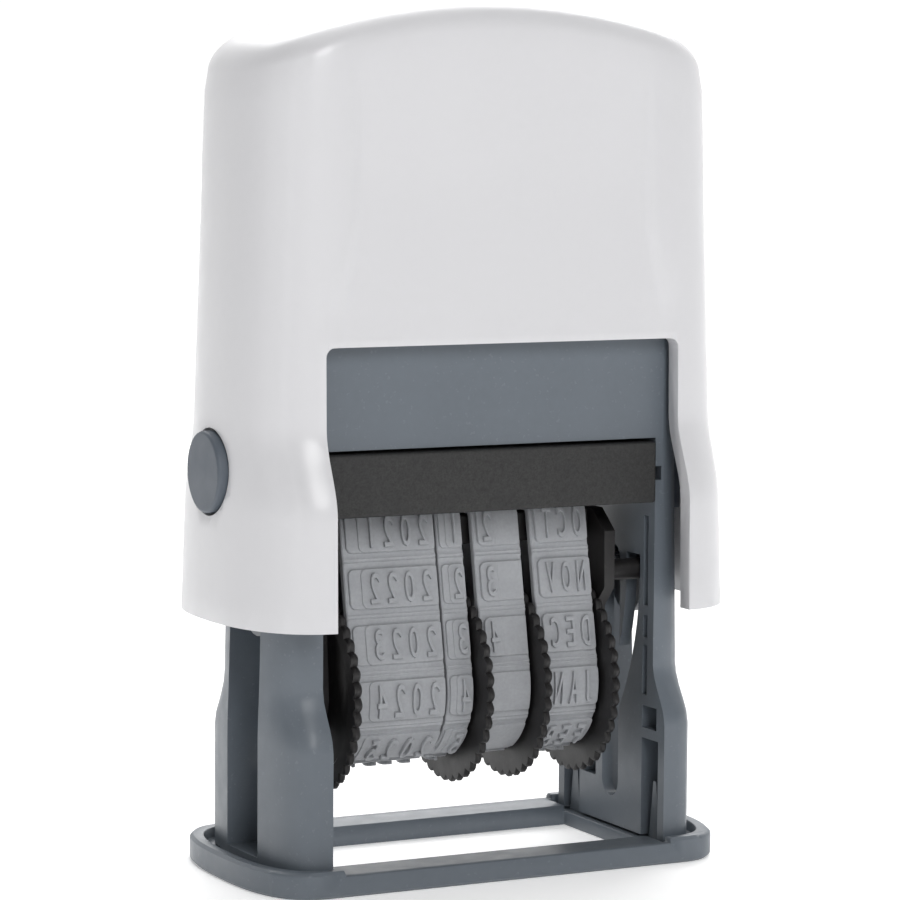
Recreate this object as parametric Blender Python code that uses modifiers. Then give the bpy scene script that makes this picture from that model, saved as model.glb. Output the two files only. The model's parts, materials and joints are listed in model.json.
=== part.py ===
"""A self-inking date stamp: a white cap pressed down over a grey frame, which flips a dater with four
rubber date bands from the ink pad down to the paper.

Metres, +Z up, the front at -Y. The origin is the centre of the foot ring's underside.
"""

import math

import bmesh
import bpy
from mathutils import Matrix, Vector

GAP = 0.0003  # between neighbouring solids

# Driving heights and the stroke
STROKE = 0.024
AXLE_Z = 0.033
SPINDLE_Z = 0.0205
BAND_TOP_Z = 0.042
TOP_Z = 0.098

# Cap
CAP_BOTTOM_Z = 0.0295
CAP_HALF_WIDTH_TOP = 0.0287
CAP_WIDTH_TAPER = 0.0013  # gained between the crown and the window's top
CAP_HALF_DEPTH_TOP = 0.0125
CAP_DEPTH_TAPER = 0.0005
CAP_SKIRT_STEP = 0.0028
CAP_STEP_LOW_Z = 0.042
CAP_STEP_HIGH_Z = 0.0515
CAP_WALL = 0.0019
CAP_CEILING = 0.0022
CROWN_DROP = 0.0055
EDGE_ROUND = 0.003
WINDOW_TOP_Z = 0.0603
WINDOW_HALF_WIDTH = 0.0221

# Foot ring
RING_HALF_WIDTH = 0.0295
RING_HALF_DEPTH = 0.0151
RING_BAR_HEIGHT = 0.0024
RING_LIP_HEIGHT = 0.003
RING_LIP_WALL = 0.0014
RING_SHELF_Z = 0.0017
RING_BAR_HALF_WIDTH = 0.0206
OPENING_HALF_WIDTH = 0.0203
OPENING_HALF_DEPTH = 0.0098

# Frame
FRAME_INNER_X = 0.021
FRAME_HALF_WIDTH = 0.0265
FRAME_WIDTH_TAPER = 0.0012
FRAME_FOOT_HALF_DEPTH = 0.0126
FRAME_HALF_DEPTH = 0.0098
FRAME_STEP_LOW_Z = 0.0156
FRAME_STEP_HIGH_Z = 0.0223
FRAME_TOP_Z = 0.062
WEB_OUTER_X = 0.0224
LEG_SLOT_HALF_DEPTH = 0.0042
POCKET_OUTER_X = 0.024
POCKET_INNER_Y = 0.0074
POST_WALL = 0.0014
BRIDGE_BOTTOM_Z = 0.0487
BRIDGE_WALL = 0.0016

# Pad cartridge
CARTRIDGE_BOTTOM_Z = 0.0413
CARTRIDGE_TOP_Z = 0.0483
CARTRIDGE_HALF_WIDTH = 0.0207
CARTRIDGE_FRONT_Y = -0.0106
CARTRIDGE_BACK_Y = 0.0103
PAD_FACE_Z = BAND_TOP_Z + GAP
RAIL_LOW_Z = 0.0438
RAIL_HIGH_Z = 0.0454
RAIL_DEPTH = 0.0008

# Dater
AXLE_RADIUS = 0.0014
SPINDLE_RADIUS = 0.0012
CAM_PIN_RADIUS = 0.00125
CAM_PIN_REACH = 0.005
CHEEK_LEFT_X = (-0.0195, -0.0181)
CHEEK_RIGHT_X = (0.0161, 0.0175)
WHEEL_RADIUS = 0.0116
WHEEL_SCALLOPS = 40
SCALLOP_DEPTH = 0.0006
DRUM_RADIUS = 0.007
BELT_RADIUS = 0.0082
BELT_THICKNESS = 0.0009
BELT_TOP_HALF_DEPTH = 0.0046
BELT_TOP_ROUND = 0.0014
CELL_HEIGHT = 0.00085
CELL_COUNT = 12
CELL_SHARE = 0.7  # of the pitch
TYPE_BED_HALF_DEPTH = 0.0033
TYPE_BED_THICKNESS = 0.0032

# name, the wheel's x range, its band's x range
DATE_BANDS = (
    ("year", (-0.0178, -0.0169), (-0.0166, -0.005)),
    ("units", (-0.0012, -0.0004), (-0.0047, -0.0015)),
    ("tens", (0.0062, 0.007), (-0.0001, 0.0059)),
    ("month", (0.015, 0.0158), (0.0073, 0.0147)),
)

# Yoke, return spring and side buttons
LEG_X = (0.0229, 0.0247)
LEG_HALF_DEPTH = 0.0036
LEG_FOOT_Z = 0.0272
CROSSBAR_Z = (0.0887, 0.091)
SPRING_RADIUS = 0.0042
SPRING_WIRE_RADIUS = 0.0004
SPRING_TURNS = 8
SPRING_SEAT_Z = 0.0503
GUIDE_FOOT_Z = 0.0765
BUTTON_Z = 0.046
BUTTON_RADIUS = 0.0046
BUTTON_TIP_X = 0.0313
BUTTON_TAB_X = (0.0266, 0.0278)
BUTTON_DISC_X = 0.0291
BUTTON_STEM_RADIUS = 0.0034

COLOURS = {
    "cap_white": ((0.72, 0.72, 0.74), 0.38, 0.0),
    "frame_grey": ((0.145, 0.168, 0.195), 0.45, 0.0),
    "button_grey": ((0.095, 0.115, 0.14), 0.5, 0.0),
    "yoke_grey": ((0.24, 0.25, 0.27), 0.5, 0.0),
    "cartridge_black": ((0.035, 0.035, 0.036), 0.65, 0.0),
    "dater_black": ((0.014, 0.013, 0.014), 0.5, 0.0),
    "band_rubber": ((0.3, 0.315, 0.33), 0.7, 0.0),
    "felt_ink": ((0.02, 0.02, 0.03), 0.95, 0.0),
    "spring_steel": ((0.55, 0.55, 0.56), 0.25, 1.0),
}

PARTS = "self_inking_date_stamp"
CUTTERS = "cutters"


# ---------------------------------------------------------------- helpers


def clear_scene():
    for obj in list(bpy.data.objects):
        bpy.data.objects.remove(obj, do_unlink=True)
    for name in (PARTS, CUTTERS):
        collection = bpy.data.collections.new(name)
        bpy.context.scene.collection.children.link(collection)


def material(name):
    found = bpy.data.materials.get(name)
    if found:
        return found
    colour, roughness, metallic = COLOURS[name]
    made = bpy.data.materials.new(name)
    made.use_nodes = True
    shader = made.node_tree.nodes["Principled BSDF"]
    shader.inputs["Base Color"].default_value = (*colour, 1.0)
    shader.inputs["Roughness"].default_value = roughness
    shader.inputs["Metallic"].default_value = metallic
    return made


def add_object(name, data, slot=None):
    """A part with its material, or a hidden cutter if it has none."""
    obj = bpy.data.objects.new(name, data)
    bpy.data.collections[PARTS if slot else CUTTERS].objects.link(obj)
    if slot:
        data.materials.append(material(slot))
    else:
        obj.hide_render = True
        obj.display_type = "WIRE"
    return obj


def mesh_from(name, bm):
    bmesh.ops.recalc_face_normals(bm, faces=bm.faces)
    mesh = bpy.data.meshes.new(name)
    bm.to_mesh(mesh)
    bm.free()
    return mesh


def block(name, low, high, slot=None):
    low, high = Vector(low), Vector(high)
    bm = bmesh.new()
    bmesh.ops.create_cube(bm, size=1.0)
    bmesh.ops.scale(bm, verts=bm.verts, vec=high - low)
    bmesh.ops.translate(bm, verts=bm.verts, vec=(low + high) / 2)
    return add_object(name, mesh_from(name, bm), slot)


def rod(name, start, end, radius, sides=24, slot=None):
    start, end = Vector(start), Vector(end)
    along = end - start
    turn = Vector((0, 0, 1)).rotation_difference(along).to_matrix().to_4x4()
    bm = bmesh.new()
    bmesh.ops.create_cone(
        bm, cap_ends=True, segments=sides, radius1=radius, radius2=radius, depth=along.length
    )
    bmesh.ops.transform(bm, verts=bm.verts, matrix=Matrix.Translation((start + end) / 2) @ turn)
    return add_object(name, mesh_from(name, bm), slot)


def meshed(curve_object, slot):
    """The curve as a mesh with welded caps, in its place."""
    name = curve_object.name
    bpy.context.view_layer.update()
    graph = bpy.context.evaluated_depsgraph_get()
    mesh = bpy.data.meshes.new_from_object(curve_object.evaluated_get(graph))
    bm = bmesh.new()
    bm.from_mesh(mesh)
    bmesh.ops.remove_doubles(bm, verts=bm.verts, dist=1e-6)
    bmesh.ops.transform(bm, verts=bm.verts, matrix=curve_object.matrix_world)
    bpy.data.objects.remove(curve_object, do_unlink=True)
    bpy.data.meshes.remove(mesh)
    return add_object(name, mesh_from(name, bm), slot)


def plate(name, outlines, x_range, slot=None):
    """Flat outlines in Y and Z, any after the first a hole, filled between two x positions."""
    curve = bpy.data.curves.new(name, "CURVE")
    curve.dimensions = "2D"
    curve.fill_mode = "BOTH"
    curve.extrude = abs(x_range[1] - x_range[0]) / 2
    for outline in outlines:
        spline = curve.splines.new("POLY")
        spline.points.add(len(outline) - 1)
        spline.use_cyclic_u = True
        for point, (y, z) in zip(spline.points, outline):
            point.co = (y, z, 0.0, 1.0)
    obj = add_object(name, curve)
    # The curve's own X, Y and Z become the world's Y, Z and X.
    turn = Matrix(((0, 0, 1, 0), (1, 0, 0, 0), (0, 1, 0, 0), (0, 0, 0, 1)))
    obj.matrix_world = Matrix.Translation(((x_range[0] + x_range[1]) / 2, 0, 0)) @ turn
    return meshed(obj, slot)


def wire(name, points, radius, slot):
    curve = bpy.data.curves.new(name, "CURVE")
    curve.dimensions = "3D"
    curve.bevel_depth = radius
    curve.bevel_resolution = 1
    curve.use_fill_caps = True
    spline = curve.splines.new("POLY")
    spline.points.add(len(points) - 1)
    for point, place in zip(spline.points, points):
        point.co = (*place, 1.0)
    return meshed(add_object(name, curve), slot)


def loft(name, rings, slot=None):
    """A closed solid through rings of points listed upwards, each ring anticlockwise from above."""
    bm = bmesh.new()
    loops = [[bm.verts.new(point) for point in ring] for ring in rings]
    join_rings(bm, loops)
    bm.faces.new(reversed(loops[0]))
    bm.faces.new(loops[-1])
    return add_object(name, mesh_from(name, bm), slot)


def join_rings(bm, loops):
    for low, high in zip(loops, loops[1:]):
        for i in range(len(low)):
            j = (i + 1) % len(low)
            bm.faces.new((low[i], low[j], high[j], high[i]))


def combine(obj, other, operation):
    modifier = obj.modifiers.new(other.name, "BOOLEAN")
    modifier.operation = operation
    modifier.solver = "EXACT"
    modifier.object = other


def cut(obj, *cutters):
    for cutter in cutters:
        combine(obj, cutter, "DIFFERENCE")


def join(obj, *others):
    for other in others:
        combine(obj, other, "UNION")


def arc(centre, radius, start, end, steps):
    """Points on an arc in Y and Z, both ends included, angles in degrees from +Y."""
    angles = (math.radians(start + (end - start) * i / steps) for i in range(steps + 1))
    return [(centre[0] + radius * math.cos(a), centre[1] + radius * math.sin(a)) for a in angles]


def ribbon(path, half_width):
    """The outline of a track of even width with square ends along a path in Y and Z."""
    left, right = [], []
    for i, (y, z) in enumerate(path):
        before = path[max(i - 1, 0)]
        after = path[min(i + 1, len(path) - 1)]
        along = Vector((after[0] - before[0], after[1] - before[1])).normalized()
        left.append((y - along.y * half_width, z + along.x * half_width))
        right.append((y + along.y * half_width, z - along.x * half_width))
    return left + right[::-1]


def smooth_step(value, low, high):
    share = min(max((value - low) / (high - low), 0.0), 1.0)
    return share * share * (3 - 2 * share)


def body(name, location):
    """An empty on a moving body's joint, for its pieces to be parented to."""
    empty = bpy.data.objects.new(name, None)
    empty.location = location
    empty.empty_display_size = 0.005
    bpy.data.collections[PARTS].objects.link(empty)
    return empty


def attach(empty, *pieces):
    """Parents pieces to an empty and keeps them in place, each with its origin on the empty's."""
    for piece in pieces:
        if piece.location.length:
            piece.location -= empty.location
        else:
            piece.data.transform(Matrix.Translation(-empty.location))
        piece.parent = empty
        for modifier in piece.modifiers:
            if modifier.type == "BOOLEAN":
                modifier.object.data.transform(Matrix.Translation(-empty.location))
                modifier.object.parent = empty


def shade(*pieces):
    for piece in pieces:
        piece.data.shade_smooth()
        piece.data.set_sharp_from_angle(angle=math.radians(35))


# ---------------------------------------------------------------- sections seen from above


def d_ended(half_width, half_depth, z, flat_share=0.68, end_steps=10, flat_steps=8, squareness=0.82):
    """A ring with a flat front and back and bowed ends. z is a height or a function of x."""
    flat = half_width * flat_share
    points = []
    for side in (1, -1):
        for i in range(end_steps + 1):
            angle = math.pi * (i / end_steps - 0.5)
            x = flat + (half_width - flat) * max(math.cos(angle), 0.0) ** squareness
            y = half_depth * math.copysign(abs(math.sin(angle)) ** squareness, math.sin(angle))
            points.append((side * x, side * y))
        for i in range(1, flat_steps):
            points.append((side * flat * (1 - 2 * i / flat_steps), side * half_depth))
    return [(x, y, z(x) if callable(z) else z) for x, y in points]


# ---------------------------------------------------------------- cap


def cap_half_width(z):
    return CAP_HALF_WIDTH_TOP + CAP_WIDTH_TAPER * (TOP_Z - z) / (TOP_Z - WINDOW_TOP_Z)


def cap_half_depth(z):
    taper = CAP_DEPTH_TAPER * (TOP_Z - z) / (TOP_Z - WINDOW_TOP_Z)
    step = CAP_SKIRT_STEP * (1 - smooth_step(z, CAP_STEP_LOW_Z, CAP_STEP_HIGH_Z))
    return CAP_HALF_DEPTH_TOP + taper + step


def crown(x):
    return TOP_Z - CROWN_DROP * (x / CAP_HALF_WIDTH_TOP) ** 2


def cap_rings(wall, ceiling, edge_round):
    """Rings from the skirt's edge up the wall and in over the crown, inset from the outer surface."""
    levels = [CAP_BOTTOM_Z, 0.035, CAP_STEP_LOW_Z]
    steps = 6
    span = CAP_STEP_HIGH_Z - CAP_STEP_LOW_Z
    levels += [CAP_STEP_LOW_Z + span * (i + 1) / steps for i in range(steps)]
    levels += [0.0545, WINDOW_TOP_Z, 0.075, 0.086]
    rings = [d_ended(cap_half_width(z) - wall, cap_half_depth(z) - wall, z) for z in levels]
    width, depth = cap_half_width(TOP_Z) - wall, cap_half_depth(TOP_Z) - wall
    for i in range(6):
        angle = math.radians(90 * i / 5)
        inset = edge_round * (1 - math.cos(angle))
        drop = ceiling + edge_round * (1 - math.sin(angle))
        rings.append(d_ended(width - inset, depth - inset, lambda x, drop=drop: crown(x) - drop))
    return rings


def make_cap():
    bm = bmesh.new()
    outer = [[bm.verts.new(point) for point in ring] for ring in cap_rings(0.0, 0.0, EDGE_ROUND)]
    inner = [
        [bm.verts.new(point) for point in ring]
        for ring in cap_rings(CAP_WALL, CAP_CEILING, EDGE_ROUND / 2)
    ]
    join_rings(bm, outer)
    join_rings(bm, inner)
    join_rings(bm, [inner[0], outer[0]])
    for loop in (outer[-1], inner[-1]):
        fill_crown(bm, loop)
    cap = add_object("cap", mesh_from("cap", bm), "cap_white")
    window = block(
        "cap_window_cutter",
        (-WINDOW_HALF_WIDTH, -0.03, CAP_BOTTOM_Z - 0.01),
        (WINDOW_HALF_WIDTH, 0.03, WINDOW_TOP_Z),
    )
    holes = [
        rod(
            f"button_hole_cutter_{side}",
            (sign * 0.025, 0, BUTTON_Z),
            (sign * 0.035, 0, BUTTON_Z),
            BUTTON_RADIUS + GAP,
            32,
        )
        for side, sign in (("left", -1), ("right", 1))
    ]
    cut(cap, window, *holes)
    return cap


def fill_crown(bm, loop):
    """Fills a crown's ring with quads between its front and its back, so that it keeps its curve."""
    count = len(loop)
    by_x = sorted(range(count), key=lambda i: (round(loop[i].co.x, 7), loop[i].co.y))
    front = [loop[i] for i in by_x if loop[i].co.y < -1e-7]
    back = [loop[i] for i in by_x if loop[i].co.y > 1e-7]
    tips = [loop[i] for i in by_x if abs(loop[i].co.y) <= 1e-7]
    for i in range(len(front) - 1):
        bm.faces.new((front[i], front[i + 1], back[i + 1], back[i]))
    if len(tips) == 2:
        bm.faces.new((tips[0], front[0], back[0]))
        bm.faces.new((tips[1], back[-1], front[-1]))


# ---------------------------------------------------------------- foot ring


def ring_section(inset, z):
    half_width, half_depth = RING_HALF_WIDTH - inset, RING_HALF_DEPTH - inset
    return d_ended(half_width, half_depth, z, flat_share=0.76, flat_steps=2, squareness=0.75)


def make_foot_ring():
    rings = [
        ring_section(0.0004, 0.0),
        ring_section(0.0, 0.0004),
        ring_section(0.0, RING_LIP_HEIGHT - 0.0005),
        ring_section(0.0005, RING_LIP_HEIGHT),
    ]
    ring = loft("foot_ring", rings, "frame_grey")
    shelf = loft("ring_shelf_cutter", [ring_section(RING_LIP_WALL, z) for z in (RING_SHELF_Z, 0.006)])
    reach = RING_BAR_HALF_WIDTH
    bars = block("ring_bar_keeper", (-reach + GAP, -0.02, -0.001), (reach - GAP, 0.02, 0.007))
    cut(shelf, bars)
    bar_top = block("ring_bar_cutter", (-reach, -0.02, RING_BAR_HEIGHT), (reach, 0.02, 0.006))
    opening = block(
        "ring_opening_cutter",
        (-OPENING_HALF_WIDTH, -OPENING_HALF_DEPTH, -0.002),
        (OPENING_HALF_WIDTH, OPENING_HALF_DEPTH, 0.006),
    )
    cut(ring, shelf, bar_top, opening)
    join(ring, *[snap_clip(x, y) for x in (-1, 1) for y in (-1, 1)])
    return ring


def snap_clip(x_side, y_side):
    """A wedge that stands up from the ring's shelf inside a post's foot."""
    base, tip = RING_SHELF_Z - 0.0004, 0.0086
    middle, half = y_side * 0.0095, 0.0013
    outline = [(middle - half, base), (middle + half, base)]
    outline += [(middle + 0.0003, tip), (middle - 0.0003, tip)]
    inner, outer = x_side * 0.0216, x_side * 0.0232
    return plate(
        f"ring_clip_{x_side + 1}{y_side + 1}", [outline], (min(inner, outer), max(inner, outer))
    )


# ---------------------------------------------------------------- frame


def frame_half_depth(z):
    step = smooth_step(z, FRAME_STEP_LOW_Z, FRAME_STEP_HIGH_Z)
    return FRAME_FOOT_HALF_DEPTH + (FRAME_HALF_DEPTH - FRAME_FOOT_HALF_DEPTH) * step


def frame_half_width(z):
    return FRAME_HALF_WIDTH - FRAME_WIDTH_TAPER * max(z - FRAME_STEP_HIGH_Z, 0) / 0.042


def side_ring(sign, z):
    """A D-shaped section, flat on the inside."""
    inner, outer, depth = FRAME_INNER_X, frame_half_width(z), frame_half_depth(z)
    flat = inner + 0.0008 + 0.001 * (1 - smooth_step(z, FRAME_STEP_LOW_Z, FRAME_STEP_HIGH_Z))
    steps = 12
    points = [(inner, -depth)]
    for i in range(steps + 1):
        angle = math.pi * (i / steps - 0.5)
        x = flat + (outer - flat) * max(math.cos(angle), 0.0) ** 0.8
        y = depth * math.copysign(abs(math.sin(angle)) ** 0.8, math.sin(angle))
        points.append((x, y))
    points.append((inner, depth))
    ring = [(sign * x, y, z) for x, y in points]
    return ring if sign > 0 else ring[::-1]


def cam_path():
    """The path of a cam pin while the axle drops by the stroke and the dater turns half a turn."""
    steps = 20
    shares = [i / steps for i in range(steps + 1)]
    return [
        (
            -CAM_PIN_REACH * math.cos(math.pi * share),
            AXLE_Z - STROKE * share - CAM_PIN_REACH * math.sin(math.pi * share),
        )
        for share in shares
    ]


def make_side(sign, name):
    foot = RING_SHELF_Z + GAP
    steps = 5
    span = FRAME_STEP_HIGH_Z - FRAME_STEP_LOW_Z
    levels = [foot, FRAME_STEP_LOW_Z]
    levels += [FRAME_STEP_LOW_Z + span * (i + 1) / steps for i in range(steps)]
    levels += [FRAME_TOP_Z]
    return loft(name, [side_ring(sign, z) for z in levels], "frame_grey" if sign < 0 else None)


def side_cutters(sign):
    side = "left" if sign < 0 else "right"

    def slab(name, x_low, x_high, low, high):
        xs = sorted((sign * x_low, sign * x_high))
        return block(f"{name}_cutter_{side}", (xs[0], *low), (xs[1], *high))

    cutters = [
        slab(
            "leg_slot",
            WEB_OUTER_X,
            0.03,
            (-LEG_SLOT_HALF_DEPTH, 0.0029),
            (LEG_SLOT_HALF_DEPTH, FRAME_TOP_Z + 0.002),
        ),
        slab(
            "rail_groove",
            FRAME_INNER_X - 0.001,
            FRAME_INNER_X + RAIL_DEPTH,
            (-0.02, RAIL_LOW_Z),
            (0.02, RAIL_HIGH_Z),
        ),
    ]
    xs = sorted((sign * (FRAME_INNER_X - 0.001), sign * (WEB_OUTER_X + 0.0001)))
    half = AXLE_RADIUS + 0.0005
    low, high = AXLE_Z - STROKE - 0.0018, AXLE_Z + 0.0006
    slot = arc((0, high), half, 0, 180, 8) + arc((0, low), half, 180, 360, 8)
    cutters.append(plate(f"axle_slot_cutter_{side}", [slot], xs))
    path = cam_path()
    path = [(path[0][0], path[0][1] + 0.0018), *path, (path[-1][0], path[-1][1] - 0.0018)]
    track = ribbon(path, CAM_PIN_RADIUS + GAP)
    cutters.append(plate(f"cam_track_cutter_{side}", [track], xs))
    # Each post is hollow from its inner face, with ledges left between the pockets.
    pockets = ((0.001, 0.0135), (0.0147, 0.0173), (0.0186, 0.0244), (0.0253, 0.0279), (0.029, 0.0395))
    for front in (-1, 1):
        for number, (z_low, z_high) in enumerate(pockets):
            deep = frame_half_depth(z_high) - POST_WALL
            ys = sorted((front * POCKET_INNER_Y, front * deep))
            cutters.append(
                slab(
                    f"post_pocket_{'front' if front < 0 else 'back'}_{number}",
                    FRAME_INNER_X - 0.001,
                    POCKET_OUTER_X,
                    (ys[0], z_low),
                    (ys[1], z_high),
                )
            )
    return cutters


def make_frame():
    """Two hollow uprights, each a front and a back post on a web, under a bridge that holds the spring."""
    frame = make_side(-1, "frame")
    right = make_side(1, "frame_right_side")
    bridge = block(
        "frame_bridge",
        (-FRAME_INNER_X - 0.001, -FRAME_HALF_DEPTH, BRIDGE_BOTTOM_Z),
        (FRAME_INNER_X + 0.001, FRAME_HALF_DEPTH, FRAME_TOP_Z),
    )
    well = block(
        "bridge_well_cutter",
        (-FRAME_INNER_X + 0.001, -FRAME_HALF_DEPTH + BRIDGE_WALL, SPRING_SEAT_Z - GAP),
        (FRAME_INNER_X - 0.001, FRAME_HALF_DEPTH - BRIDGE_WALL, FRAME_TOP_Z + 0.01),
    )
    join(frame, right, bridge)
    cut(frame, well, *side_cutters(-1), *side_cutters(1))
    return frame


# ---------------------------------------------------------------- pad cartridge


def make_cartridge():
    """A tray open below and behind, so that it draws out over the bands, with tongues for the rails."""
    half = CARTRIDGE_HALF_WIDTH
    cartridge = block(
        "pad_cartridge",
        (-half, CARTRIDGE_FRONT_Y, CARTRIDGE_BOTTOM_Z),
        (half, CARTRIDGE_BACK_Y, CARTRIDGE_TOP_Z),
        "cartridge_black",
    )
    round_edges(cartridge, 0.0003)
    tongue = block(
        "cartridge_tongue",
        (-half - RAIL_DEPTH + GAP, -0.009, RAIL_LOW_Z + GAP),
        (half + RAIL_DEPTH - GAP, CARTRIDGE_BACK_Y - 0.0005, RAIL_HIGH_Z - GAP),
    )
    recess = block(
        "pad_recess_cutter", (-0.0191, -0.0083, CARTRIDGE_BOTTOM_Z - 0.001), (0.0191, 0.0123, 0.0461)
    )
    join(cartridge, tongue)
    cut(cartridge, recess)
    pad = block("ink_pad", (-0.0188, -0.008, PAD_FACE_Z), (0.0188, 0.008, 0.0458), "felt_ink")
    round_edges(pad, 0.0005)
    return cartridge, pad


def round_edges(obj, width, segments=2):
    bevel = obj.modifiers.new("edge_round", "BEVEL")
    bevel.width = width
    bevel.segments = segments


# ---------------------------------------------------------------- yoke, axle, spring and buttons


def make_yoke():
    """An inverted U under the cap's ceiling, whose legs carry the axle."""
    low_x, high_x = LEG_X
    depth = LEG_HALF_DEPTH
    foot = arc((0, LEG_FOOT_Z + depth), depth, 180, 360, 10)
    outline = [*foot, (depth, CROSSBAR_Z[1]), (-depth, CROSSBAR_Z[1])]
    yoke = plate("yoke", [outline], (-high_x, -low_x), "yoke_grey")
    right = plate("yoke_right_leg", [outline], (low_x, high_x))
    crossbar = block(
        "yoke_crossbar", (-high_x + 0.0005, -depth, CROSSBAR_Z[0]), (high_x - 0.0005, depth, CROSSBAR_Z[1])
    )
    guide = rod("yoke_spring_guide", (0, 0, GUIDE_FOOT_Z), (0, 0, CROSSBAR_Z[0] + 0.001), 0.0026, 20)
    hole = rod("yoke_axle_cutter", (-0.03, 0, AXLE_Z), (0.03, 0, AXLE_Z), AXLE_RADIUS + GAP, 20)
    join(yoke, right, crossbar, guide)
    cut(yoke, hole)
    return yoke


def turned_ring(name, x_range, inner, outer):
    """A steel ring on the axle, turned from a rectangular profile and laid along X."""
    half = abs(x_range[1] - x_range[0]) / 2
    bm = bmesh.new()
    corners = [(outer, 0, half), (outer, 0, -half), (inner, 0, -half), (inner, 0, half)]
    verts = [bm.verts.new(corner) for corner in corners]
    for i in range(4):
        bm.edges.new((verts[i], verts[(i + 1) % 4]))
    mesh = bpy.data.meshes.new(name)
    bm.to_mesh(mesh)
    bm.free()
    ring = add_object(name, mesh, "spring_steel")
    ring.location = ((x_range[0] + x_range[1]) / 2, 0, AXLE_Z)
    ring.rotation_euler = (0, math.radians(90), 0)
    screw = ring.modifiers.new("turned", "SCREW")
    screw.steps = screw.render_steps = 20
    screw.use_merge_vertices = True
    screw.merge_threshold = 0.00001
    return ring


def make_axles():
    """A steel pin through each leg into the dater's cheek, with a clip ring outside the leg."""
    pieces = []
    for side, sign, inner in (("left", -1, -CHEEK_LEFT_X[1]), ("right", 1, CHEEK_RIGHT_X[0])):
        ends = ((sign * x, 0, AXLE_Z) for x in (inner, LEG_X[1] + 0.0013))
        pin = rod(f"axle_pin_{side}", *ends, AXLE_RADIUS, 20, "spring_steel")
        shade(pin)
        xs = (sign * (LEG_X[1] + GAP), sign * (LEG_X[1] + 0.0011))
        pieces += [pin, turned_ring(f"axle_clip_{side}", xs, AXLE_RADIUS + GAP, 0.0028)]
    return pieces


def spring_points():
    """A helix with its end turns closed up, as on a ground compression spring."""
    low, high = SPRING_SEAT_Z + SPRING_WIRE_RADIUS, CROSSBAR_Z[0] - GAP - SPRING_WIRE_RADIUS
    per_turn = 12
    count = SPRING_TURNS * per_turn
    points = []
    for i in range(count + 1):
        turn = i / per_turn
        share = smooth_ends(i / count)
        angle = math.tau * turn
        x, y = SPRING_RADIUS * math.cos(angle), SPRING_RADIUS * math.sin(angle)
        points.append((x, y, low + (high - low) * share))
    return points


def smooth_ends(share):
    """Rises slowly over the first and last turn and evenly between them."""
    end = 1 / SPRING_TURNS
    slow = 0.3 * end
    if share < end:
        return slow * share / end
    if share > 1 - end:
        return 1 - slow * (1 - share) / end
    return slow + (1 - 2 * slow) * (share - end) / (1 - 2 * end)


def make_button(side, sign):
    """A round push button in the cap's wall, on a tab that stops it from falling out."""
    name = f"side_button_{side}"
    base, tip = ((sign * x, 0, BUTTON_Z) for x in (BUTTON_DISC_X, BUTTON_TIP_X))
    button = rod(name, base, tip, BUTTON_RADIUS, 32, "button_grey")
    bevel = button.modifiers.new("face_chamfer", "BEVEL")
    bevel.width = 0.0004
    bevel.segments = 2
    bevel.angle_limit = math.radians(60)
    xs = sorted(sign * x for x in BUTTON_TAB_X)
    low, high = (-0.0038, BUTTON_Z - 0.0063), (0.0038, BUTTON_Z + 0.0063)
    tab = block(f"button_tab_{side}", (xs[0], *low), (xs[1], *high))
    start, end = ((sign * x, 0, BUTTON_Z) for x in (BUTTON_TAB_X[0] + 0.0004, BUTTON_DISC_X + 0.0004))
    stem = rod(f"button_stem_{side}", start, end, BUTTON_STEM_RADIUS, 20)
    join(button, tab, stem)
    shade(button)
    return button


# ---------------------------------------------------------------- dater


def loop_outline(grow=0.0):
    """The path of a band around its drum and over the type bed, as corner arcs joined by straights."""
    radius = BELT_RADIUS + grow
    top_round = BELT_TOP_ROUND + grow
    corner_y = BELT_TOP_HALF_DEPTH - BELT_TOP_ROUND
    corner_z = BAND_TOP_Z - CELL_HEIGHT - BELT_TOP_ROUND
    # The straights touch both arcs, so both arcs end at the same slope.
    away = Vector((corner_y, corner_z - SPINDLE_Z))
    lean = math.asin((BELT_RADIUS - BELT_TOP_ROUND) / away.length)
    slope = math.degrees(math.atan2(away.y, away.x) - math.pi / 2 + lean)
    top_right = arc((corner_y, corner_z), top_round, slope, 90, 4)
    top_left = [(-y, z) for y, z in reversed(top_right)]
    bottom = arc((0, SPINDLE_Z), radius, 180 - slope, 360 + slope, 24)
    return top_right + top_left + bottom


def walk(outline):
    """Running length at each point of a closed outline, ending with its whole length."""
    lengths = [0.0]
    for (y0, z0), (y1, z1) in zip(outline, outline[1:] + outline[:1]):
        lengths.append(lengths[-1] + math.hypot(y1 - y0, z1 - z0))
    return lengths


def point_at(outline, lengths, distance):
    distance %= lengths[-1]
    for i in range(len(outline)):
        if distance <= lengths[i + 1]:
            y0, z0 = outline[i]
            y1, z1 = outline[(i + 1) % len(outline)]
            share = (distance - lengths[i]) / (lengths[i + 1] - lengths[i])
            return (y0 + (y1 - y0) * share, z0 + (z1 - z0) * share)
    return outline[0]


def cell_outline():
    """The belt's outer side with a raised cell for each date entry, the first one facing the pad."""
    belt, raised = loop_outline(), loop_outline(CELL_HEIGHT)
    belt_lengths, raised_lengths = walk(belt), walk(raised)
    start = belt_lengths[4] + BELT_TOP_HALF_DEPTH - BELT_TOP_ROUND
    raised_start = raised_lengths[4] + BELT_TOP_HALF_DEPTH - BELT_TOP_ROUND
    steps = 4
    points = []
    for cell in range(CELL_COUNT):
        for outline, lengths, origin, half, count in (
            (raised, raised_lengths, raised_start, CELL_SHARE / 2, steps),
            (belt, belt_lengths, start, (1 - CELL_SHARE) / 2, 1),
        ):
            middle = cell if outline is raised else cell + 0.5
            for i in range(count + 1):
                place = (middle - half + 2 * half * i / count) / CELL_COUNT
                points.append(point_at(outline, lengths, origin + place * lengths[-1]))
    return points


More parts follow.
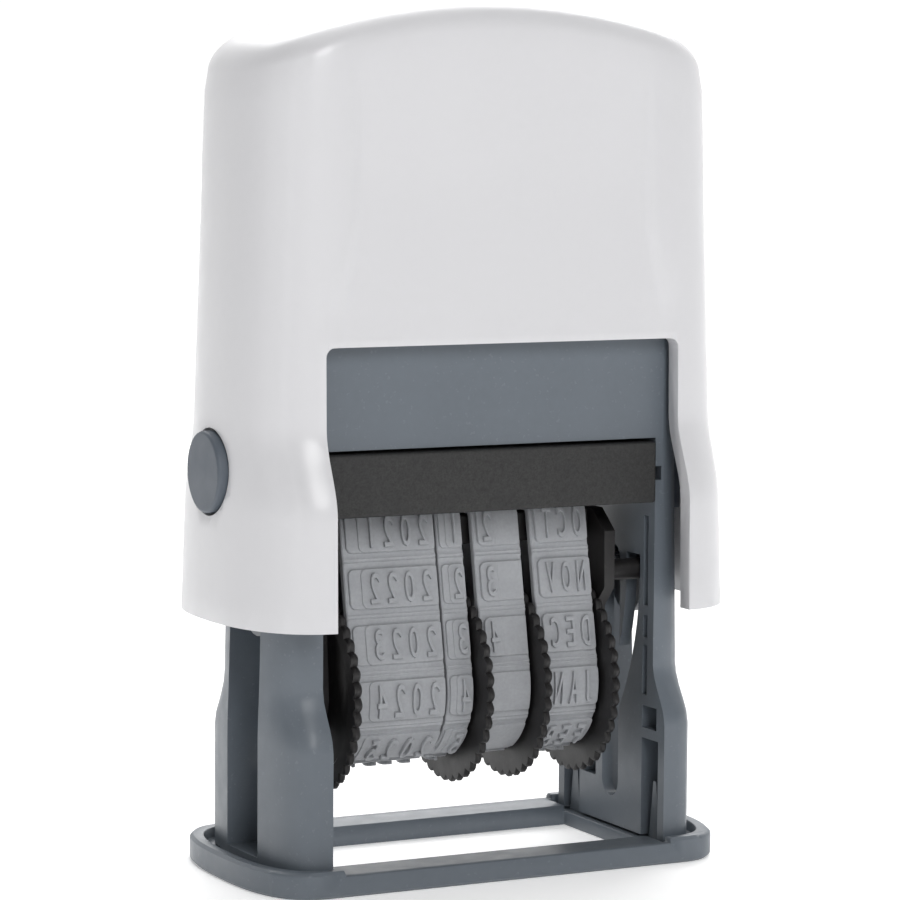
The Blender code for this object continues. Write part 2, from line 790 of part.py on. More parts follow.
def make_band(name, x_range):
    inner = loop_outline(-BELT_THICKNESS)
    return plate(f"band_{name}", [cell_outline(), inner], x_range, "band_rubber")


def scalloped(radius, count, depth):
    """A round outline in Y and Z about the spindle, with a ring of small lobes."""
    steps = 3
    points = []
    for i in range(count * steps):
        angle = math.tau * i / (count * steps)
        reach = radius - depth * (1 - abs(math.cos(count * angle / 2)))
        points.append((reach * math.cos(angle), SPINDLE_Z + reach * math.sin(angle)))
    return points


def make_wheel(name, wheel_x, band_x):
    """A scalloped thumbwheel with the drum that its band runs on, bored for the spindle."""
    outline = scalloped(WHEEL_RADIUS, WHEEL_SCALLOPS, SCALLOP_DEPTH)
    wheel = plate(f"thumbwheel_{name}", [outline], wheel_x, "dater_black")
    low = min(band_x[0], wheel_x[1] - 0.0005)
    high = max(band_x[1], wheel_x[0] + 0.0005)
    drum = rod(f"drum_{name}", (low, 0, SPINDLE_Z), (high, 0, SPINDLE_Z), DRUM_RADIUS, 24)
    bore = rod(
        f"wheel_bore_{name}", (-0.03, 0, SPINDLE_Z), (0.03, 0, SPINDLE_Z), SPINDLE_RADIUS + GAP, 16
    )
    join(wheel, drum)
    cut(wheel, bore)
    return wheel


def cheek_outline():
    """A plate from the type bed down to the spindle, with an ear in front and behind for the cam pins."""
    ear, neck, top = 0.0068, 0.0046, 0.0038
    half = [(top, 0.0402), (ear, 0.0378), (ear, 0.0312), (neck, 0.0288)]
    bottom = arc((0, SPINDLE_Z), 0.0052, -180, 0, 12)
    return [(-y, z) for y, z in half] + bottom + half[::-1]


def make_cheek(side, x_range, sign):
    cheek = plate(f"cheek_{side}", [cheek_outline()], x_range, "dater_black")
    inner, outer = (x_range[1], x_range[0]) if sign < 0 else x_range
    pin = rod(
        f"cam_pin_{side}",
        (outer - sign * 0.0008, -CAM_PIN_REACH, AXLE_Z),
        (sign * (WEB_OUTER_X - 0.0005), -CAM_PIN_REACH, AXLE_Z),
        CAM_PIN_RADIUS,
        16,
    )
    bores = [
        rod(f"cheek_{kind}_cutter_{side}", (-0.03, 0, z), (0.03, 0, z), radius + GAP, 16)
        for kind, z, radius in (("axle", AXLE_Z, AXLE_RADIUS), ("spindle", SPINDLE_Z, SPINDLE_RADIUS))
    ]
    join(cheek, pin)
    cut(cheek, *bores)
    return cheek


def make_dater_core():
    """The bed that backs the type and the wheels' spindle, between the cheeks."""
    low, high = CHEEK_LEFT_X[1] + GAP, CHEEK_RIGHT_X[0] - GAP
    bed_top = BAND_TOP_Z - CELL_HEIGHT - BELT_THICKNESS - GAP
    bed = block(
        "type_bed",
        (low, -TYPE_BED_HALF_DEPTH, bed_top - TYPE_BED_THICKNESS),
        (high, TYPE_BED_HALF_DEPTH, bed_top),
        "dater_black",
    )
    spindle = rod(
        "wheel_spindle",
        (CHEEK_LEFT_X[0] - 0.0004, 0, SPINDLE_Z),
        (CHEEK_RIGHT_X[1] + 0.0012, 0, SPINDLE_Z),
        SPINDLE_RADIUS,
        16,
        "spring_steel",
    )
    return bed, spindle


def main():
    clear_scene()
    frame = make_frame()
    foot_ring = make_foot_ring()
    shade(frame, foot_ring)

    cap_body = body("cap_slide", (0, 0, AXLE_Z))
    cap = make_cap()
    yoke = make_yoke()
    shade(cap, yoke)
    attach(cap_body, cap, yoke, *make_axles())
    for side, sign in (("left", -1), ("right", 1)):
        attach(body(f"button_press_{side}", (sign * BUTTON_TIP_X, 0, BUTTON_Z)), make_button(side, sign))

    spring = wire("return_spring", spring_points(), SPRING_WIRE_RADIUS, "spring_steel")
    attach(body("spring_seat", (0, 0, SPRING_SEAT_Z)), spring)
    attach(body("cartridge_slide", (0, CARTRIDGE_FRONT_Y, CARTRIDGE_BOTTOM_Z)), *make_cartridge())

    bands = [make_band(name, band_x) for name, _, band_x in DATE_BANDS]
    cheeks = [make_cheek("left", CHEEK_LEFT_X, -1), make_cheek("right", CHEEK_RIGHT_X, 1)]
    attach(body("dater_flip", (0, 0, AXLE_Z)), *make_dater_core(), *cheeks, *bands)
    for name, wheel_x, band_x in DATE_BANDS:
        attach(body(f"{name}_turn", (wheel_x[0], 0, SPINDLE_Z)), make_wheel(name, wheel_x, band_x))


main()
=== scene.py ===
"""The looks of a self-inking date stamp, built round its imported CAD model.

The cap, the foot ring, the bands, the thumbwheels, the ink pad and the spring are detailed pieces that
stand for their CAD nodes. The other nodes keep their shape and get softened edges and their own finish.
Metres, +Z up, the front at -Y.
"""

import json
import math

import bmesh
import bpy
from mathutils import Matrix, Vector


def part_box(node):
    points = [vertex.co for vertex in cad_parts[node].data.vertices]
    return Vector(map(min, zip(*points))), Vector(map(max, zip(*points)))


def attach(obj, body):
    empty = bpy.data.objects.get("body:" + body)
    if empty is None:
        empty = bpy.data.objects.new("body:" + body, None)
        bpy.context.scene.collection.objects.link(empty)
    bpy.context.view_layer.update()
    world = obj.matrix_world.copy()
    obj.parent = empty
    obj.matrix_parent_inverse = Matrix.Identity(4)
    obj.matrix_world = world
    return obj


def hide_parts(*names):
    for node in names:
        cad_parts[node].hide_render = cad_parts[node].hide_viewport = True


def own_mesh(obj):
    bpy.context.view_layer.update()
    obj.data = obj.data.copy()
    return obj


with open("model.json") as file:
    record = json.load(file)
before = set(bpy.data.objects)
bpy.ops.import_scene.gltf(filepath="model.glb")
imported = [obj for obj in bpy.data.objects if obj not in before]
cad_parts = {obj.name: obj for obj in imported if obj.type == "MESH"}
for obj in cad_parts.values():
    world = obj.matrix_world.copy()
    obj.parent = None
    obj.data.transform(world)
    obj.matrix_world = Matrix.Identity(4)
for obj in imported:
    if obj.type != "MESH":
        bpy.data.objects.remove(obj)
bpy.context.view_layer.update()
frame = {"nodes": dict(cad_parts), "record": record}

MM = 0.001
GAP = 0.3 * MM


# ---------------------------------------------------------------- materials


class Shader:
    """A Principled material with helpers for its node tree. Textures follow the object, in metres."""

    def __init__(self, name, colour, roughness, metallic=0.0, **sockets):
        self.material = bpy.data.materials.new(name)
        self.material.use_nodes = True
        self.tree = self.material.node_tree
        self.bsdf = self.tree.nodes["Principled BSDF"]
        self.bsdf.inputs["Base Color"].default_value = (*colour, 1.0)
        self.bsdf.inputs["Roughness"].default_value = roughness
        self.bsdf.inputs["Metallic"].default_value = metallic
        for socket, value in sockets.items():
            self.bsdf.inputs[socket.replace("_", " ")].default_value = value
        self.colour = colour
        self.roughness = roughness
        self.place = self.tree.nodes.new("ShaderNodeTexCoord").outputs["Object"]

    def node(self, kind, **settings):
        made = self.tree.nodes.new(kind)
        for name, value in settings.items():
            setattr(made, name, value)
        return made

    def link(self, source, target):
        self.tree.links.new(source, target)

    def noise(self, size, detail=2.0, stretch=(1, 1, 1)):
        """Noise with features of about this size."""
        scale = self.node("ShaderNodeMapping")
        scale.inputs["Scale"].default_value = stretch
        self.link(self.place, scale.inputs["Vector"])
        noise = self.node("ShaderNodeTexNoise")
        noise.inputs["Scale"].default_value = 1 / size
        noise.inputs["Detail"].default_value = detail
        self.link(scale.outputs["Vector"], noise.inputs["Vector"])
        return noise.outputs["Fac"]

    def cells(self, size):
        """Voronoi cell distance with cells of about this size."""
        voronoi = self.node("ShaderNodeTexVoronoi")
        voronoi.inputs["Scale"].default_value = 1 / size
        self.link(self.place, voronoi.inputs["Vector"])
        return voronoi.outputs["Distance"]

    def spread(self, source, low, high, from_low=0.3, from_high=0.7):
        """source mapped to the range low to high."""
        ranged = self.node("ShaderNodeMapRange")
        ranged.inputs["From Min"].default_value = from_low
        ranged.inputs["From Max"].default_value = from_high
        ranged.inputs["To Min"].default_value = low
        ranged.inputs["To Max"].default_value = high
        self.link(source, ranged.inputs["Value"])
        return ranged.outputs["Result"]

    def tint(self, source, other, share=1.0):
        """Base colour mixed towards another colour by source."""
        mix = self.node("ShaderNodeMix", data_type="RGBA")
        base = self.bsdf.inputs["Base Color"]
        if base.is_linked:
            self.link(base.links[0].from_socket, mix.inputs["A"])
        else:
            mix.inputs["A"].default_value = (*self.colour, 1.0)
        mix.inputs["B"].default_value = (*other, 1.0)
        self.link(self.spread(source, 0.0, share), mix.inputs["Factor"])
        self.link(mix.outputs["Result"], base)

    def bump(self, source, height, strength=1.0):
        """Adds a height field to the surface, over any that came before."""
        bump = self.node("ShaderNodeBump")
        bump.inputs["Strength"].default_value = strength
        bump.inputs["Distance"].default_value = height
        self.link(source, bump.inputs["Height"])
        normal = self.bsdf.inputs["Normal"]
        if normal.is_linked:
            self.link(normal.links[0].from_socket, bump.inputs["Normal"])
        self.link(bump.outputs["Normal"], normal)

    def vary_roughness(self, size, amount):
        rough = self.spread(self.noise(size, 3.0), self.roughness - amount, self.roughness + amount)
        self.link(rough, self.bsdf.inputs["Roughness"])


def shaded(colour, factor):
    return tuple(channel * factor for channel in colour)


def moulded(name, colour, roughness, grain, grain_height, mottle=0.06, **sockets):
    """Moulded plastic: an even grain, faint flow marks and a little unevenness in gloss."""
    shader = Shader(name, colour, roughness, **sockets)
    shader.tint(shader.noise(9 * MM, 2.0, (1, 1, 0.35)), shaded(colour, 1 - mottle))
    shader.tint(shader.noise(1.1 * MM, 3.0), shaded(colour, 1 + mottle), 0.5)
    shader.vary_roughness(2.4 * MM, 0.05)
    shader.bump(shader.noise(grain, 2.0), grain_height)
    shader.bump(shader.noise(7 * MM, 1.0), 0.012 * MM)
    return shader


def cap_plastic():
    """Light plastic with a satin, slightly pearly face."""
    shader = moulded(
        "cap_white", (0.63, 0.628, 0.645), 0.36, 0.09 * MM, 0.0012 * MM, mottle=0.012, Coat_Weight=0.3
    )
    shader.bsdf.inputs["Coat Roughness"].default_value = 0.22
    shader.bsdf.inputs["Sheen Weight"].default_value = 0.05
    return shader.material


def frame_plastic():
    shader = moulded("frame_grey", (0.122, 0.142, 0.165), 0.4, 0.14 * MM, 0.004 * MM)
    dust = shader.spread(shader.noise(0.5 * MM, 4.0), 0.0, 1.0, 0.62, 0.72)
    shader.tint(dust, (0.22, 0.24, 0.265), 0.25)
    return shader.material


def button_plastic():
    return moulded("button_grey", (0.088, 0.105, 0.128), 0.5, 0.12 * MM, 0.004 * MM).material


def yoke_plastic():
    return moulded("yoke_grey", (0.2, 0.21, 0.225), 0.5, 0.14 * MM, 0.004 * MM).material


def cartridge_plastic():
    """Near-black plastic with a coarse spark-eroded texture."""
    shader = Shader("cartridge_black", (0.015, 0.015, 0.015), 0.66)
    grain = shader.noise(0.22 * MM, 4.0)
    shader.tint(grain, (0.034, 0.034, 0.033), 0.8)
    shader.tint(shader.noise(3 * MM), (0.017, 0.017, 0.018), 0.5)
    shader.vary_roughness(0.5 * MM, 0.1)
    shader.bump(shader.cells(0.3 * MM), 0.02 * MM, 0.6)
    shader.bump(grain, 0.03 * MM)
    return shader.material


def dater_plastic():
    """Black plastic, dulled by handling and a trace of ink."""
    shader = moulded("dater_black", (0.0105, 0.0095, 0.01), 0.46, 0.16 * MM, 0.006 * MM, mottle=0.3)
    scuff = shader.spread(shader.noise(0.4 * MM, 5.0, (1, 1, 0.4)), 0.0, 1.0, 0.6, 0.7)
    shader.tint(scuff, (0.035, 0.032, 0.03), 0.4)
    return shader.material


def band_rubber():
    """Grey date rubber: matt, with a fine moulded bloom and faint cross streaks."""
    shader = Shader("band_rubber", (0.325, 0.335, 0.355), 0.62, Sheen_Weight=0.12)
    shader.bsdf.inputs["Sheen Roughness"].default_value = 0.6
    shader.tint(shader.noise(2.2 * MM, 3.0, (0.5, 1, 1)), (0.375, 0.385, 0.405), 0.8)
    shader.tint(shader.noise(0.35 * MM, 4.0), (0.24, 0.25, 0.265), 0.35)
    shader.vary_roughness(0.8 * MM, 0.08)
    shader.bump(shader.noise(0.12 * MM, 3.0), 0.006 * MM)
    shader.bump(shader.noise(0.9 * MM, 2.0, (0.3, 1, 1)), 0.012 * MM)
    return shader.material


def ink_felt():
    """Felt soaked with black ink: matted fibres, wet in places."""
    shader = Shader("felt_ink", (0.014, 0.014, 0.022), 0.8, Sheen_Weight=0.3)
    shader.tint(shader.noise(0.15 * MM, 6.0, (1, 0.3, 1)), (0.035, 0.035, 0.05))
    shader.vary_roughness(1.2 * MM, 0.18)
    shader.bump(shader.noise(0.12 * MM, 6.0, (1, 0.25, 1)), 0.05 * MM)
    shader.bump(shader.noise(0.12 * MM, 6.0, (0.25, 1, 1)), 0.05 * MM)
    return shader.material


def spring_steel():
    """Drawn steel with fine lengthwise marks."""
    shader = Shader("spring_steel", (0.56, 0.56, 0.57), 0.26, metallic=1.0)
    shader.tint(shader.noise(0.7 * MM, 4.0), (0.42, 0.41, 0.4), 0.6)
    shader.vary_roughness(0.5 * MM, 0.09)
    shader.bump(shader.noise(0.1 * MM, 3.0, (0.1, 1, 1)), 0.002 * MM)
    return shader.material


FINISHES = {
    "cap_white": cap_plastic(),
    "frame_grey": frame_plastic(),
    "button_grey": button_plastic(),
    "yoke_grey": yoke_plastic(),
    "cartridge_black": cartridge_plastic(),
    "dater_black": dater_plastic(),
    "band_rubber": band_rubber(),
    "felt_ink": ink_felt(),
    "spring_steel": spring_steel(),
}


# ---------------------------------------------------------------- pieces


def body_holding(node):
    bodies = frame["record"]["behaviour"]["bodies"]
    return next(body for body, nodes in bodies.items() if node in nodes)


def slot_of(node):
    return next(part["material_slot"] for part in frame["record"]["subparts"] if part["node"] == node)


def stand_for(piece, node):
    """Finishes a piece like its CAD node, rides it on the node's body and hides the node."""
    finish_like(piece, node)
    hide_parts(node)
    return piece


def finish_like(piece, node):
    slot = slot_of(node)
    piece.data.materials.clear()
    piece.data.materials.append(FINISHES[slot])
    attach(piece, body_holding(node))


def mesh_piece(name, bm, sharp=35):
    bmesh.ops.recalc_face_normals(bm, faces=bm.faces)
    mesh = bpy.data.meshes.new(name)
    bm.to_mesh(mesh)
    bm.free()
    obj = bpy.data.objects.new(name, mesh)
    bpy.context.scene.collection.objects.link(obj)
    smooth(mesh, sharp)
    return obj


def smooth(mesh, sharp):
    mesh.shade_smooth()
    mesh.set_sharp_from_angle(angle=math.radians(sharp))


def baked(obj, sharp=35):
    """Applies the object's modifiers to its mesh."""
    bpy.context.view_layer.update()
    graph = bpy.context.evaluated_depsgraph_get()
    mesh = bpy.data.meshes.new_from_object(obj.evaluated_get(graph))
    obj.modifiers.clear()
    obj.data = mesh
    smooth(mesh, sharp)
    return obj


def soften(obj, width, segments=3, angle=40):
    bevel = obj.modifiers.new("soft_edges", "BEVEL")
    bevel.width = width
    bevel.segments = segments
    bevel.limit_method = "ANGLE"
    bevel.angle_limit = math.radians(angle)
    bevel.harden_normals = True
    return obj


def join_rings(bm, rings, cyclic=False):
    pairs = list(zip(rings, rings[1:]))
    if cyclic:
        pairs.append((rings[-1], rings[0]))
    for low, high in pairs:
        for i in range(len(low)):
            j = (i + 1) % len(low)
            bm.faces.new((low[i], low[j], high[j], high[i]))


def ring_of(bm, points):
    return [bm.verts.new(point) for point in points]


def ease(value, low, high):
    share = min(max((value - low) / (high - low), 0.0), 1.0)
    return share * share * (3 - 2 * share)


def arc(centre, radius, start, end, steps):
    angles = (math.radians(start + (end - start) * i / steps) for i in range(steps + 1))
    return [(centre[0] + radius * math.cos(a), centre[1] + radius * math.sin(a)) for a in angles]


# ---------------------------------------------------------------- cap

cap_low, cap_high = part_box("cap")
CAP_HEIGHT = cap_high.z - cap_low.z
CAP_WALL = 1.9 * MM
CAP_CEILING = 2.2 * MM
CAP_TAPER_X = 2.36 * MM
CAP_FOOT_HALF_DEPTH = cap_high.y
CAP_TAPER_Y = 0.91 * MM
CAP_STEP = 2.8 * MM
STEP_LOW_Z = 42 * MM
STEP_HIGH_Z = 51.5 * MM
CROWN_DROP = 5.5 * MM
EDGE_ROUND = 3 * MM
WINDOW_TOP_Z = 60.3 * MM
WINDOW_HALF_WIDTH = 22.1 * MM
WINDOW_CORNER = 1.0 * MM
PANEL_DEPTH = 0.5 * MM
PANEL_HALF_WIDTH = 18.3 * MM
PANEL_SPREAD = 3.0 * MM
PANEL_SPREAD_TOP_Z = 76 * MM
PANEL_FADE_Z = (76 * MM, 95 * MM)
FLAT_SHARE = 0.68
END_POWER = 0.82
LEVELS_TOP_Z = 90 * MM
CROWN_BEND_LOW_Z = 80 * MM
CROWN_BEND_GAP = 0.6 * MM
CROWN_ROWS = 6
CUTTER_REACH = 5 * MM
BUTTON_HOLE_X = 30 * MM
BUTTON_HOLE_DEPTH = 8 * MM


def cap_half_width(z):
    rise = (z - cap_low.z) / CAP_HEIGHT
    return cap_high.x - CAP_TAPER_X * rise


def cap_half_depth(z):
    rise = (z - cap_low.z) / CAP_HEIGHT
    return CAP_FOOT_HALF_DEPTH - CAP_TAPER_Y * rise - CAP_STEP * ease(z, STEP_LOW_Z, STEP_HIGH_Z)


def crown(x):
    return cap_high.z - CROWN_DROP * (x / cap_half_width(cap_high.z)) ** 2


def panel_sink(x, z):
    """How far the front and back panels lie below the surface beside them, widening to the window."""
    edge = PANEL_HALF_WIDTH + PANEL_SPREAD * (1 - ease(z, WINDOW_TOP_Z - 2 * MM, PANEL_SPREAD_TOP_Z))
    fade = 1 - ease(z, *PANEL_FADE_Z)
    above_window = ease(z, STEP_HIGH_Z, WINDOW_TOP_Z - 3 * MM)
    return PANEL_DEPTH * fade * above_window * (1 - ease(abs(x), edge - 0.5 * MM, edge + 0.6 * MM))


def cap_section(half_width, half_depth, height, sunk, end_steps=32, flat_steps=84):
    """A ring with a flat front and back and bowed ends, seen from above."""
    flat = half_width * FLAT_SHARE
    outline = []
    for side in (1, -1):
        for i in range(end_steps + 1):
            angle = math.pi * (i / end_steps - 0.5)
            x = flat + (half_width - flat) * max(math.cos(angle), 0.0) ** END_POWER
            y = half_depth * math.copysign(abs(math.sin(angle)) ** END_POWER, math.sin(angle))
            outline.append((side * x, side * y))
        for i in range(1, flat_steps):
            outline.append((side * flat * (1 - 2 * i / flat_steps), side * half_depth))
    points = []
    for x, y in outline:
        z = height(x)
        near_face = ease(abs(y), half_depth * 0.8, half_depth)
        sink = panel_sink(x, z) * near_face if sunk else 0.0
        points.append((x, y - math.copysign(sink, y), z))
    return points


def cap_levels():
    """Heights of the wall's rings, closer together where the step bends."""
    spans = ((cap_low.z, STEP_LOW_Z, 5), (STEP_LOW_Z, STEP_HIGH_Z, 16), (STEP_HIGH_Z, LEVELS_TOP_Z, 32))
    return [low + (high - low) * i / steps for low, high, steps in spans for i in range(steps)]


def cap_rings(bm, wall, ceiling, edge_round, sunk):
    """One skin of the cap, inset by the wall and the ceiling, and closed over the crown."""
    rings = []
    for z in cap_levels():
        points = cap_section(cap_half_width(z) - wall, cap_half_depth(z) - wall, lambda x, z=z: z, sunk)
        if z > CROWN_BEND_LOW_Z:
            # The wall's last levels bend with the crown, so that they meet the rounded edge evenly.
            share = ease(z, CROWN_BEND_LOW_Z, LEVELS_TOP_Z)
            drop = ceiling + edge_round + CROWN_BEND_GAP + LEVELS_TOP_Z
            points = [(x, y, z + share * (crown(x) - drop)) for x, y, z in points]
        rings.append(ring_of(bm, points))
    width, depth = cap_half_width(cap_high.z) - wall, cap_half_depth(cap_high.z) - wall
    steps = 10
    for i in range(steps + 1):
        angle = math.radians(90 * i / steps)
        inset = edge_round * (1 - math.cos(angle))
        drop = ceiling + edge_round * (1 - math.sin(angle))
        points = cap_section(width - inset, depth - inset, lambda x, drop=drop: crown(x) - drop, False)
        rings.append(ring_of(bm, points))
    join_rings(bm, rings)
    close_crown(bm, rings[-1])
    return rings


def close_crown(bm, ring):
    """Strips of quads from the front of the crown's ring to its back."""
    order = sorted(ring, key=lambda v: (round(v.co.x, 7), v.co.y))
    front = [v for v in order if v.co.y < -1e-7]
    back = [v for v in order if v.co.y > 1e-7]
    tips = [v for v in order if abs(v.co.y) <= 1e-7]
    columns = []
    for a, b in zip(front, back):
        inner = [bm.verts.new(a.co.lerp(b.co, i / CROWN_ROWS)) for i in range(1, CROWN_ROWS)]
        columns.append([a, *inner, b])
    for left, right in zip(columns, columns[1:]):
        for i in range(CROWN_ROWS):
            bm.faces.new((left[i], right[i], right[i + 1], left[i + 1]))
    for tip, column in zip(tips, (columns[0], columns[-1])):
        for a, b in zip(column, column[1:]):
            bm.faces.new((tip, a, b))


def window_cutter():
    """A prism through the cap's front and back whose top corners are rounded."""
    half, top, corner = WINDOW_HALF_WIDTH, WINDOW_TOP_Z, WINDOW_CORNER
    foot = cap_low.z - CUTTER_REACH
    outline = [(half, foot)]
    outline += arc((half - corner, top - corner), corner, 0, 90, 6)
    outline += arc((-half + corner, top - corner), corner, 90, 180, 6)
    outline += [(-half, foot)]
    bm = bmesh.new()
    reach = cap_high.y + CUTTER_REACH
    rings = [ring_of(bm, [(x, y, z) for x, z in outline]) for y in (reach, -reach)]
    join_rings(bm, rings)
    bm.faces.new(rings[0][::-1])
    bm.faces.new(rings[1])
    return mesh_piece("window_cutter", bm)


def button_hole_cutter(sign):
    low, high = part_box("side_button_right")
    radius = high.y + GAP
    bm = bmesh.new()
    bmesh.ops.create_cone(
        bm, cap_ends=True, segments=64, radius1=radius, radius2=radius, depth=BUTTON_HOLE_DEPTH
    )
    turn = Matrix.Rotation(math.radians(90), 4, "Y")
    place = Matrix.Translation((sign * BUTTON_HOLE_X, 0, (low.z + high.z) / 2))
    bmesh.ops.transform(bm, verts=bm.verts, matrix=place @ turn)
    return mesh_piece("button_hole_cutter", bm)


def make_cap():
    bm = bmesh.new()
    outer = cap_rings(bm, 0.0, 0.0, EDGE_ROUND, True)
    inner = cap_rings(bm, CAP_WALL, CAP_CEILING, EDGE_ROUND / 2, False)
    join_rings(bm, [inner[0], outer[0]])
    cap = mesh_piece("cap_shell", bm)
    for cutter in (window_cutter(), button_hole_cutter(-1), button_hole_cutter(1)):
        combine(cap, cutter)
    soften(cap, 0.3 * MM, angle=50)
    baked(cap)
    return stand_for(cap, "cap")


# ---------------------------------------------------------------- foot ring

ring_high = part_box("foot_ring")[1]
LIP_HEIGHT = 3.0 * MM
LIP_WALL = 1.4 * MM
SHELF_Z = 1.7 * MM
BAR_HEIGHT = 2.4 * MM
BAR_HALF_WIDTH = 20.6 * MM
OPENING = Vector((20.3 * MM, 9.8 * MM))
RING_FLAT_SHARE = 0.76
RING_END_POWER = 0.75
RING_EDGE = 0.35 * MM
CUT_TOP_Z = 7 * MM
CLIP_X = (21.6 * MM, 23.2 * MM)
CLIP_MIDDLE_Y = 9.5 * MM
CLIP_SUNK = 0.4 * MM
CLIP_HALF_WIDTH_FOOT = 1.3 * MM
CLIP_HALF_WIDTH_TIP = 0.3 * MM


def ring_outline(inset, z, end_steps=36):
    """The ring's outline, seen from above, moved in by the inset."""
    half_width, half_depth = ring_high.x - inset, ring_high.y - inset
    flat = half_width * RING_FLAT_SHARE
    points = []
    for side in (1, -1):
        for i in range(end_steps + 1):
            angle = math.pi * (i / end_steps - 0.5)
            x = flat + (half_width - flat) * max(math.cos(angle), 0.0) ** RING_END_POWER
            y = half_depth * math.copysign(abs(math.sin(angle)) ** RING_END_POWER, math.sin(angle))
            points.append((side * x, side * y, z))
    return points


def solid_loft(name, rings):
    """A closed piece through the rings, capped at both ends."""
    bm = bmesh.new()
    loops = [ring_of(bm, ring) for ring in rings]
    join_rings(bm, loops)
    bm.faces.new(loops[0][::-1])
    bm.faces.new(loops[-1])
    return mesh_piece(name, bm)


def slab_cutter(name, half_width, half_depth, foot):
    """A box about the middle, from the foot's height to above the ring."""
    corners = [(x * half_width, y * half_depth) for x, y in ((-1, -1), (1, -1), (1, 1), (-1, 1))]
    return solid_loft(name, [[(x, y, z) for x, y in corners] for z in (foot, CUT_TOP_Z)])


def combine(obj, other, operation="DIFFERENCE"):
    """Cuts the other piece from obj, or joins it, and removes the other piece."""
    change = obj.modifiers.new(other.name, "BOOLEAN")
    change.operation = operation
    change.solver = "EXACT"
    change.object = other
    baked(obj)
    bpy.data.objects.remove(other, do_unlink=True)


def make_ring():
    """The foot ring: a lip round each post's foot, a lower bar in front and behind, and snap clips."""
    rings = [
        ring_outline(RING_EDGE, 0.0),
        ring_outline(0.0, RING_EDGE),
        ring_outline(0.0, LIP_HEIGHT - RING_EDGE),
        ring_outline(RING_EDGE, LIP_HEIGHT),
    ]
    ring = solid_loft("foot_ring_moulding", rings)
    shelf = solid_loft("shelf_cutter", [ring_outline(LIP_WALL, z) for z in (SHELF_Z, 2 * LIP_HEIGHT)])
    past_front = ring_high.y + CUTTER_REACH
    combine(shelf, slab_cutter("bar_keeper", BAR_HALF_WIDTH - GAP, past_front, -MM))
    combine(ring, shelf)
    combine(ring, slab_cutter("bar_top_cutter", BAR_HALF_WIDTH, past_front, BAR_HEIGHT))
    combine(ring, slab_cutter("opening_cutter", *OPENING, -2 * MM))
    soften(ring, 0.25 * MM, angle=50)
    baked(ring)
    for x_side in (-1, 1):
        for y_side in (-1, 1):
            combine(ring, snap_clip(x_side, y_side), "UNION")
    return stand_for(ring, "foot_ring")


def snap_clip(x_side, y_side):
    """A tapered prong that stands up inside a post's foot."""
    middle = y_side * CLIP_MIDDLE_Y
    xs = [x_side * x for x in CLIP_X]
    rings = []
    for z, half in ((SHELF_Z - CLIP_SUNK, CLIP_HALF_WIDTH_FOOT), (ring_high.z, CLIP_HALF_WIDTH_TIP)):
        ys = [middle - half, middle + half]
        rings.append([(xs[0], ys[0], z), (xs[1], ys[0], z), (xs[1], ys[1], z), (xs[0], ys[1], z)])
    return solid_loft("snap_clip", rings)


# ---------------------------------------------------------------- date bands

band_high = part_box("band_year")[1]
SPINDLE_Z = sum(corner.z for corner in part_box("wheel_spindle")) / 2
CELL_RISE = 0.85 * MM
BELT_THICKNESS = 0.9 * MM
BELT_RADIUS = band_high.y - CELL_RISE
BELT_TOP_Z = band_high.z - CELL_RISE
BED_HALF_DEPTH = 3.2 * MM
BED_ROUND = 1.4 * MM
CELL_COUNT = 12
TABLET_SHARE = 0.72
TABLET_RISE = 0.4 * MM
TABLET_SUNK = 0.05 * MM
TAB_RISE = TABLET_RISE - 0.08 * MM
BLANK_RISE = TABLET_RISE - 0.05 * MM
TABLET_DRAFT = 0.04 * MM
TABLET_EDGE = 0.06 * MM
TABLET_END_GAP = 0.12 * MM
TAB_OVERLAP = 0.6 * MM
LETTER_RISE = 0.43 * MM
LETTER_SUNK = 0.01 * MM
LETTER_HEIGHT = 3.5 * MM
LETTER_NARROWING = 0.75
LETTER_CELL_SHARE = 0.8
TYPE_MARGINS = 0.9 * MM
NARROWEST_TYPE = 1.9 * MM
BEND_STEP = 0.45 * MM
BELT_STATIONS_PER_CELL = 30
BELT_EDGE = 0.12 * MM
SIDE_RIB_SPAN = (0.02, 0.06)
SIDE_RIB_RISE = 0.1 * MM
GAP_RIB_SPAN = 0.1
GAP_RIB_RISE = 0.06 * MM

# The straight run between the bed's round end and the drum: its slope, its length and the arcs beside it.
away = Vector((BED_HALF_DEPTH, BELT_TOP_Z - BED_ROUND - SPINDLE_Z))
SLOPE = math.atan2(away.y, away.x) - math.pi / 2
SLOPE += math.asin((BELT_RADIUS - BED_ROUND) / away.length)
BED_SWEEP = math.pi / 2 - SLOPE
RUN = math.sqrt(away.length_squared - (BELT_RADIUS - BED_ROUND) ** 2)
DRUM_SWEEP = math.pi / 2 + SLOPE
HALF_LOOP = BED_HALF_DEPTH + BED_ROUND * BED_SWEEP + RUN + BELT_RADIUS * DRUM_SWEEP
PITCH = 2 * HALF_LOOP / CELL_COUNT


